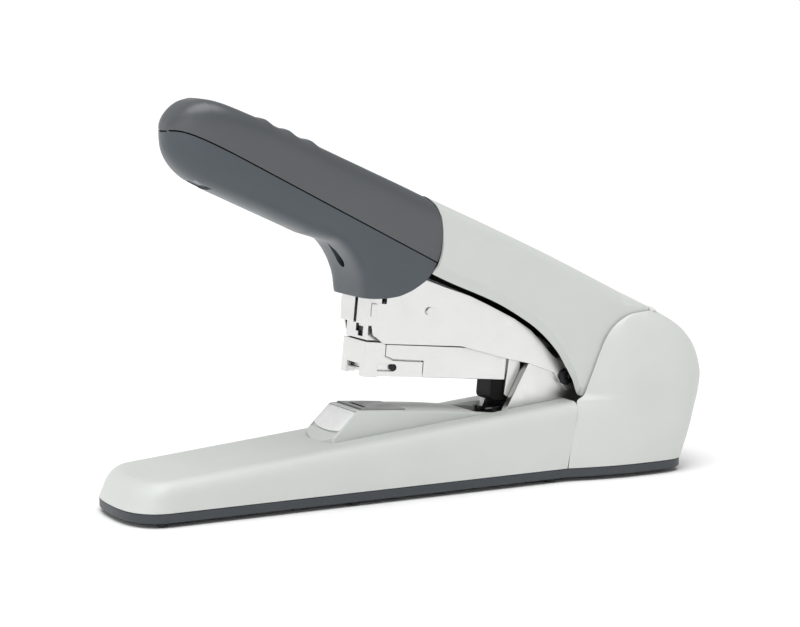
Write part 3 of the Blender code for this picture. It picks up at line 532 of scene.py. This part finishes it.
def housing_row(z, inset=0.0, steps=22):
    """Plan of the housing at one height, from one cheek's front round the back to the other's."""
    front = read(HOUSING_FRONT_X, z)
    rear = read(HOUSING_REAR_X, z) - inset
    middle = max(108.0, front + 2.0)
    front_half = read(HOUSING_FRONT_HALF, z) - inset
    middle_half = read(HOUSING_MIDDLE_HALF, z) - inset
    side = []
    for i in range(steps + 1):
        along, across = quarter(i / steps, HOUSING_POWER)
        side.append((middle + (rear - middle) * along, middle_half * across))
    for share in spaced(0.1, 1.0, 10):
        x = middle + (front - middle) * share
        side.append((x, middle_half - (middle_half - front_half) * share ** 1.8))
    return [(x, -y, z) for x, y in reversed(side[1:])] + [(x, y, z) for x, y in side]


def rear_housing():
    """Rear housing: two bulged cheeks and a rounded back."""
    levels = spaced(SHELL_BOTTOM, 38.4, 18) + [38.6, 39.4, 40.2, 41.0] + spaced(42.0, 78.4, 36)
    levels += [78.8, 79.2, 79.6, 80.0, 80.4, 80.8, 81.05, 81.2]
    rows = [housing_row(z) for z in levels]
    shell = sheet("rear_housing_shell", rows, caps=[rows[-1]])
    thicken(shell, HOUSING_WALL, bevel=0.3)
    place(shell, "rear_housing")


def tray_row(inset, z):
    """Closed plan of the tray at one height, its inset measured from the base's outline."""
    back = [(x, y, z) for x, y, _ in housing_row(4.0, inset) if x > CREASE_FOOT_X + 1]
    half = BASE_HALF - inset
    front = [(x, y, z) for x, y in nose_outline(inset)]
    return front + [(CREASE_FOOT_X - 1, -half, z)] + back + [(CREASE_FOOT_X - 1, half, z), front[0]]


def base_tray():
    """Dark tray whose edge shows as a strip under both covers."""
    profile = [(3.0, 3.9), (2.2, 4.2), (2.2, 6.3), (0.0, 6.3), (0.0, 2.6), (0.5, 2.0)]
    rows = [tray_row(*step) for step in profile]
    shell = sheet("base_tray_shell", rows, caps=[rows[0][:-1], rows[-1][:-1]])
    roll(shell, 0.25)
    place(shell, "base_tray")


# ---------------------------------------------------------------- clinch table

TABLE_REAR_X = 42.5
TABLE_TOP = ((-34.3, 41.4), (-20.6, 40.4), (8.6, 37.8), (25.1, 35.7), (42.5, 33.4))
SLOPE_LOW = (-54.4, 24.0)
SLOPE_HIGH = (-36.0, 41.3)
# shares of the way up the slope
WINDOW_LOW = 0.44
WINDOW_HIGH = 0.97
WINDOW_BOW = 0.07
WINDOW_HALF = 13.5
TABLE_LOW_Z = 21.0
TABLE_WALL = 2.0


def table_height(x):
    """Height of the clinch table's surface along its front slope and its top."""
    if x < SLOPE_HIGH[0]:
        share = (x - SLOPE_LOW[0]) / (SLOPE_HIGH[0] - SLOPE_LOW[0])
        return SLOPE_LOW[1] + (SLOPE_HIGH[1] - SLOPE_LOW[1]) * share
    return read(TABLE_TOP, x) - 0.25 * math.exp(-(x - SLOPE_HIGH[0]) / 0.8)


def slope_point(share, y, lift=0.0):
    """A point on the table's front slope, lifted square to it."""
    run = (Vector(SLOPE_HIGH) - Vector(SLOPE_LOW)).normalized()
    place_at = Vector(SLOPE_LOW).lerp(Vector(SLOPE_HIGH), share) + Vector((-run.y, run.x)) * lift
    return place_at.x, y, place_at.y


def clinch_table():
    """Light wedge with softly rounded upper edges, cut for plate, window, wings and hinge pin."""
    edge = 1.1
    half = TABLE_HALF
    across = [-half, -half + 0.02]
    across += [-half + edge - edge * math.cos(math.radians(angle)) for angle in (30, 50, 70, 90)]
    across += spaced(-half + edge + 1.0, 0.0, 7)
    across += [-y for y in reversed(across[:-1])]
    rows = []
    for x in spaced(SLOPE_LOW[0], -34.0, 20) + spaced(-33.0, TABLE_REAR_X, 40):
        row = [(x, -half, TABLE_LOW_Z)]
        for y in across:
            inner = max(abs(y) - (half - edge), 0.0)
            drop = edge - math.sqrt(max(edge * edge - inner * inner, 0.0))
            row.append((x, y, max(table_height(x) - drop, TABLE_LOW_Z)))
        rows.append(row + [(x, half, TABLE_LOW_Z)])
    body = sheet("clinch_table_body", rows, caps=[list(reversed(rows[0])), rows[-1],
                 [row[0] for row in rows] + [row[-1] for row in reversed(rows)]])
    front = [(x, y) for x, y in table_front(0.0, 25)]
    plan = front + [(TABLE_REAR_X, -half - 1), (TABLE_REAR_X, half + 1)]
    carve(body, prism("plan", plan, 10.0, 60.0, along="Z"), operation="INTERSECT")
    inside = [(-43.5, 0), (-43.5, 27.5), (-33.6, 38.2), (-20.6, 38.0), (8.6, 35.4), (25.1, 33.3),
              (30.0, 32.5), (30.0, 0)]
    low, high = WINDOW_LOW - 0.02, WINDOW_HIGH + 0.01
    seat = [slope_point(low, 0, -0.9), slope_point(high, 0, -0.9)]
    seat += [slope_point(high, 0, 3), slope_point(low, 0, 3)]
    seat_half = WINDOW_HALF + 0.15
    carve(body, prism("inside", inside, -half + TABLE_WALL, half - TABLE_WALL),
          block("notch", (29.0, -11.4, 0.0), (60.0, 11.4, 60.0)),
          block("anvil_seat", (-33.4, -12.9, 39.4), (-9.1, 12.9, 60.0)),
          block("wing_slot", (-30.7, -9.4, 30.0), (-26.3, 9.4, 60.0)),
          prism("window_seat", [(x, z) for x, _, z in seat], -seat_half, seat_half),
          prism("pin", arc((33.0, 24.0), 1.8, 0, 345, 23), -30.0, 30.0))
    roll(body, 0.2, 2, 45.0)
    place(body, "clinch_table")


def window():
    """Glossy panel with a bowed lower edge on the upper part of the table's slope."""
    rows = []
    for part in spaced(0.0, 1.0, 15):
        row = []
        for y in spaced(-WINDOW_HALF, WINDOW_HALF, 25):
            low = WINDOW_LOW + WINDOW_BOW * (y / WINDOW_HALF) ** 2
            share = low + (WINDOW_HIGH - low) * part
            crown = 0.3 - 0.3 * (2 * part - 1) ** 4 - 0.25 * (y / WINDOW_HALF) ** 6
            row.append(slope_point(share, y, crown))
        rows.append(row)
    panel = sheet("table_window_panel", rows)
    thicken(panel, thickness=0.8, bevel=0.25)
    place(panel, "table_window")


# ---------------------------------------------------------------- handle

HANDLE_HALF = 21.5
COVER_WALL = 1.8
TIP_X = -126.4
SPLIT_GAP = 0.7
TIP_REACH = 32.0
TIP_POWER = 2.1
HANDLE_TOP = ((-126.4, 173.9), (-124.6, 178.2), (-121.0, 182.6), (-116.0, 186.2), (-110.0, 187.7),
              (-100.0, 185.2), (-70.5, 172.4), (-40.2, 158.8), (-10.0, 145.2), (8.0, 136.6))
BAR_BOTTOM = ((-126.4, 173.3), (-126.3, 167.1), (-124.2, 161.2), (-119.8, 155.4), (-113.5, 150.3),
              (-105.5, 146.2), (-90.0, 139.0), (-74.3, 131.8), (-58.3, 124.4))
# (point on the shroud's front, x of its section on the split line) pairs
SHROUD = (((-50.0, 121.8), -50.0), ((-45.0, 119.8), -42.0), ((-41.0, 116.0), -36.5), ((-37.6, 111.0), -31.0),
          ((-35.1, 105.5), -26.0), ((-33.9, 100.0), -21.0), ((-33.4, 93.0), -15.0), ((-31.0, 86.0), -10.0),
          ((-14.0, 84.0), -3.0), ((8.0, 86.0), 8.0))
LOWER_EDGE = ((-60.0, 94.8), (-24.0, 94.2), (-17.4, 94.9), (-12.1, 96.6))
REAR_CURVE = ((-9.0, 98.0), (-4.0, 100.9), (-0.6, 104.3), (2.2, 108.7), (4.3, 113.4), (5.1, 118.0),
              (5.4, 123.0), (5.2, 128.0), (4.6, 132.0), (2.7, 136.8), (-0.2, 140.0), (-6.0, 146.0))
RIDGE_X = (-82.0, -70.5, -59.3)
RIDGE_HEIGHT = 1.1
RIDGE_WIDTH = 2.4
SPLIT_AT = (2.8, 109.7)
SPLIT_SLOPE = 0.521
SPLIT_DIP = 3.7


def split_z(x):
    """Height of the line where top cover and lower shell meet."""
    return SPLIT_AT[1] + SPLIT_SLOPE * (SPLIT_AT[0] - x) - SPLIT_DIP * math.exp(-(x - TIP_X) / 4.0)


def tip_half(x):
    """Half-width of the handle along its length, rounded at the tip."""
    share = min(max(TIP_X + TIP_REACH - x, 0.0) / TIP_REACH, 1.0)
    return HANDLE_HALF * max(1 - share ** TIP_POWER, 0.0004) ** (1 / TIP_POWER)


def half_section(split, end, half, power, steps=18):
    """Points from one side at the split, round the end point, to the other side."""
    side = []
    for i in range(steps + 1):
        across, t = quarter(i / steps, power)
        side.append((split[0] + (end[0] - split[0]) * t, half * across, split[1] + (end[1] - split[1]) * t))
    return side + [(x, -y, z) for x, y, z in reversed(side[:-1])]


def behind_curve():
    """Region behind the handle's rear edge, as a side outline."""
    return smooth(REAR_CURVE, 56) + [(60.0, 146.0), (60.0, 99.2)]


def handle_top():
    """Dark top cover with three soft grip ridges."""
    line = smooth(HANDLE_TOP[:5], 34) + smooth(HANDLE_TOP[4:], 110)[1:]
    rows = []
    for x, z in line:
        ridge = sum(RIDGE_HEIGHT * math.exp(-((x - r) / RIDGE_WIDTH) ** 2) for r in RIDGE_X)
        low = split_z(x) + SPLIT_GAP / 2
        squareness = min(max(x - TIP_X - 10.0, 0.0) / 30.0, 1.0)
        power = 3.2 + 2.6 * squareness
        rows.append(half_section((x, low), (x, max(z + ridge, low + 0.3)), tip_half(x), power, 26))
    shell = sheet("handle_top_shell", rows)
    wall(shell, COVER_WALL)
    carve(shell, prism("rear", behind_curve(), -40, 40))
    roll(shell, 0.25, 2, 45.0)
    place(shell, "handle_top_cover")


def lower_rows():
    """Sections of the lower shell, from the tip along the bar and down the shroud."""
    bar = smooth(BAR_BOTTOM, 90)
    pairs = [(point, point[0], 2.5) for point in bar]
    shroud = smooth([(*point, split_x) for point, split_x in SHROUD], 84)
    for i, (x, z, split_x) in enumerate(shroud):
        pairs.append(((x, z), split_x, 2.8 + 2.4 * min(i / 36, 1.0)))
    rows = []
    for (x, z), split_x, power in pairs:
        start = max(split_x, TIP_X + 0.02)
        high = split_z(start) - SPLIT_GAP / 2
        end = (x if split_x > -57 else start, min(z, high - 0.3))
        rows.append(half_section((start, high), end, tip_half(start), power, 22))
    return rows


def handle_lower():
    """Dark lower shell whose shroud covers the head of the arm."""
    shell = sheet("handle_lower_shell_fine", lower_rows())
    wall(shell, COVER_WALL)
    below = smooth(LOWER_EDGE[1:] + REAR_CURVE[:2], 24) + smooth(REAR_CURVE, 56)[6:-6]
    below += [(60.0, 140.0), (60.0, 60.0), (-60.0, 60.0), (-60.0, 94.8)]
    carve(shell, prism("edge", below, -40, 40))
    drop = [(0.0, 119.5), (-2.3, 115.8), *arc((0.0, 111.0), 3.4, 180, 360, 20), (2.3, 115.8)]
    slot = [(-115.0, 148.6), (-107.0, 144.6), (-105.6, 147.6), (-113.6, 151.6)]
    carve(shell, prism("drop", drop, -60, -33, along="X"), prism("slot", slot, -8.0, 8.0))
    roll(shell, 0.25, 2, 45.0)
    place(shell, "handle_lower_shell")


# ---------------------------------------------------------------- arm cover

COVER_TOP = ((-4.0, 142.2), (5.0, 138.2), (37.7, 123.6), (65.9, 110.6), (94.9, 96.4), (110.0, 88.8),
             (124.0, 81.4))
COVER_LOWER = ((-4.0, 106.6), (7.1, 101.1), (35.6, 88.6), (50.0, 80.2), (58.1, 74.5), (69.6, 62.9),
               (74.5, 55.2), (78.4, 48.5), (82.0, 40.4), (84.5, 41.0), (89.5, 48.5), (94.5, 59.5),
               (98.0, 65.8), (101.5, 69.9), (106.0, 73.6), (111.0, 76.2), (116.0, 77.8), (120.0, 78.6),
               (124.0, 79.0))
TONGUE_RADIUS = 33.0
TONGUE_HALF = 18.5


def cover_row_at(x, steps=10):
    """Section of the arm cover at one station, from one lip over the top to the other."""
    top = read(COVER_TOP, x)
    low = read(COVER_LOWER, x)
    height = max(top - low, 0.6)
    radius = min(6.5, 0.45 * height)
    lip = min(4.6, 0.24 * height) if x < 82.3 else 0.2

    def half(z):
        return min(24.2, 20.3 + (top - z) * 0.11)

    side = [(half(low) - lip * 0.62, low), (half(low + lip), low + lip)]
    for z in spaced(low + lip, top - radius, 12)[1:]:
        side.append((half(z), z))
    for i in range(1, steps + 1):
        angle = math.pi / 2 * i / steps
        side.append((half(top) - radius + radius * math.cos(angle), top - radius + radius * math.sin(angle)))
    flat = half(top) - radius
    side += [(y, top + 0.25 * (1 - (y / flat) ** 2)) for y in spaced(flat, 0.0, 5)[1:]]
    row = [(x, -y, z) for y, z in side]
    return row + [(x, -y, z) for _, y, z in reversed(row[:-1])]


def arm_cover():
    """Light cover of the rear arm, with a turned-in lip and a tongue that closes the housing."""
    stations = spaced(-4.0, 76.0, 61) + spaced(77.0, 82.2, 14)
    stations += spaced(82.5, 88.0, 12) + spaced(89.0, 123.6, 38)
    rows = [cover_row_at(x) for x in stations]
    shell = sheet("arm_cover_shell", rows)
    wall(shell, COVER_WALL)
    front = [(x + 0.6, z) for x, z in smooth(REAR_CURVE, 56)] + [(-30.0, 146.0), (-30.0, 99.2)]
    carve(shell, prism("front", front, -40, 40))
    tongue = [(116.5, 84.4), (120.5, 82.3), *arc(HANDLE_AXIS, TONGUE_RADIUS, 82, 62, 14),
              *arc(HANDLE_AXIS, TONGUE_RADIUS - 1.4, 62, 86, 14)]
    roll(joined(shell, prism("tongue", tongue, -TONGUE_HALF, TONGUE_HALF)), 0.25, 2, 50.0)
    place(shell, "arm_cover")


# ---------------------------------------------------------------- turned pieces

def turned(name, middle, profile, along="Y", steps=40):
    """A turned solid from (place, radius) pairs along an axis through a point."""
    rows = []
    for place_at, radius in profile:
        ring = [(middle[0] + u, middle[1] + v) for u, v in arc((0.0, 0.0), radius, 0, 360, steps)]
        if along == "Y":
            rows.append([(u, place_at, v) for u, v in ring])
        else:
            rows.append([(u, v, place_at) for u, v in ring])
    return sheet(name, rows, caps=[rows[0][:-1], rows[-1][:-1]], sharp_deg=30.0)


# (distance from the middle plane, radius) pairs
RIVET_HEAD = ((15.3, 2.0), (15.75, 2.0), (16.0, 1.85), (16.1, 1.5), (16.0, 1.1))
LATCH_PIN = ((10.1, 1.4), (11.2, 1.4), (11.35, 1.25), (11.4, 0.8))
# (height, radius) pairs
FOOT = ((0.0, 1.7), (0.12, 2.0), (0.35, 2.25), (0.6, 2.3), (1.7, 2.3))


def turned_pieces():
    """Axles, rivet heads, latch pins and feet as smooth round pieces."""
    end = 15.3
    half = [(0.0, 2.7), (end, 2.7), (end, 4.0), (end + 0.9, 4.0), (end + 1.2, 3.85), (end + 1.4, 3.5),
            (end + 1.4, 1.2), (end + 1.1, 0.9)]
    profile = [(-y, r) for y, r in reversed(half)] + half[1:]
    place(turned("arm_axle_turned", ARM_PIVOT, profile), "arm_axle")
    half = [(0.0, 2.7), (21.6, 2.7), (22.0, 2.3)]
    profile = [(-y, r) for y, r in reversed(half)] + half[1:]
    place(turned("handle_axle_turned", HANDLE_AXIS, profile), "handle_axle")
    for side, word in SIDES:
        head = sorted((side * y, r) for y, r in RIVET_HEAD)
        place(turned(f"frame_rivet_{word}_turned", tilted(-1.2, 77.9), head), f"frame_rivet_{word}")
        pin = sorted((side * y, r) for y, r in LATCH_PIN)
        place(turned(f"latch_pin_{word}_turned", tilted(-16.0, 50.2), pin), f"latch_pin_{word}")
    for number in range(1, 9):
        low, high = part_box(f"base_foot_{number}")
        middle = ((low[0] + high[0]) / 2 / MM, (low[1] + high[1]) / 2 / MM)
        place(turned(f"base_foot_{number}_turned", middle, FOOT, along="Z", steps=32), f"base_foot_{number}")


# ---------------------------------------------------------------- steel pieces

# width of the rolled edge on each solid that keeps its CAD shape
ROLLED = {
    "chassis_frame": 0.3, "blade_guide": 0.2, "magazine_channel": 0.35, "bracket_plates": 0.3,
    "lift_buffer": 0.6, "front_casing": 0.35, "magazine_rail": 0.3, "corner_tab_left": 0.25,
    "corner_tab_right": 0.25, "anvil_plate": 0.15, "handle_lever": 0.3, "clincher_block": 0.4,
    "driver_hammer": 0.3, "staple_pusher": 0.3, "arm_frame": 0.3,
}


def rolled_pieces():
    """Solids that keep their CAD shape and get rolled edges."""
    for node, width in ROLLED.items():
        refined(node, width)


def carried_over():
    """Inner pieces that stay as CAD nodes with a finished material."""
    for node, obj in frame["nodes"].items():
        if not obj.hide_render:
            obj.data.materials.clear()
            obj.data.materials.append(MATERIALS[SLOT_OF[node]])


# ---------------------------------------------------------------- studio

LENS = 99.0
CAMERA_AT = (-0.4996, -0.9138, 0.2223)
CAMERA_AIM = (-0.0055, 0.0, 0.0837)
HORIZON_LIGHT = 1.0
CEILING_LIGHT = 0.3
HORIZON_END = 0.04
CEILING_START = 0.4
FLOOR_HALF = 60000


def camera():
    """Camera low in front and to the side, as for a product picture."""
    data = bpy.data.cameras.new("camera")
    data.lens = LENS
    data.sensor_width = 36.0
    data.clip_end = 50.0
    obj = add_object("camera", data)
    obj.location = CAMERA_AT
    aim = Vector(CAMERA_AIM) - obj.location
    obj.rotation_euler = aim.to_track_quat("-Z", "Y").to_euler()
    bpy.context.scene.camera = obj


def wide_light(name, come_from, strength, angle_deg):
    """Even light over object and floor, as from a large soft panel far away."""
    data = bpy.data.lights.new(name, "SUN")
    data.energy = strength
    data.angle = math.radians(angle_deg)
    obj = add_object(name, data)
    obj.rotation_euler = Vector(come_from).to_track_quat("Z", "Y").to_euler()


def studio():
    """Pale floor, even surroundings and soft lights."""
    world = bpy.data.worlds.new("surroundings")
    world.use_nodes = True
    tree = world.node_tree
    height = tree.nodes.new("ShaderNodeSeparateXYZ")
    tree.links.new(tree.nodes.new("ShaderNodeTexCoord").outputs["Generated"], height.inputs["Vector"])
    fade = tree.nodes.new("ShaderNodeMapRange")
    fade.interpolation_type = "SMOOTHSTEP"
    fade.inputs["From Min"].default_value = HORIZON_END
    fade.inputs["From Max"].default_value = CEILING_START
    fade.inputs["To Min"].default_value = HORIZON_LIGHT
    fade.inputs["To Max"].default_value = CEILING_LIGHT
    tree.links.new(height.outputs["Z"], fade.inputs["Value"])
    tree.links.new(fade.outputs["Result"], tree.nodes["Background"].inputs["Strength"])
    tree.nodes["Background"].inputs["Color"].default_value = (1.0, 1.0, 1.0, 1.0)
    bpy.context.scene.world = world
    ends = (-FLOOR_HALF, FLOOR_HALF)
    floor = sheet("floor", [[(x, y, 0.0) for x in ends] for y in ends])
    made = Nodes("floor", Roughness=0.9, Specular_IOR_Level=0.2)
    drift = made.ranged(made.noise(0.002, 2.0), 0, 1)
    made.link(made.blended(drift, (0.93, 0.93, 0.93), (0.95, 0.95, 0.95)), "Base Color")
    floor.data.materials.append(made.material)
    wide_light("overhead", come_from=(-0.12, -0.1, 0.98), strength=2.7, angle_deg=60.0)
    wide_light("key", come_from=(-0.85, -0.4, 0.35), strength=0.4, angle_deg=45.0)
    bpy.context.scene.view_settings.view_transform = "Standard"


# ---------------------------------------------------------------- build

base_cover()
rear_housing()
base_tray()
clinch_table()
window()
handle_top()
handle_lower()
arm_cover()
turned_pieces()
rolled_pieces()
carried_over()
camera()
studio()
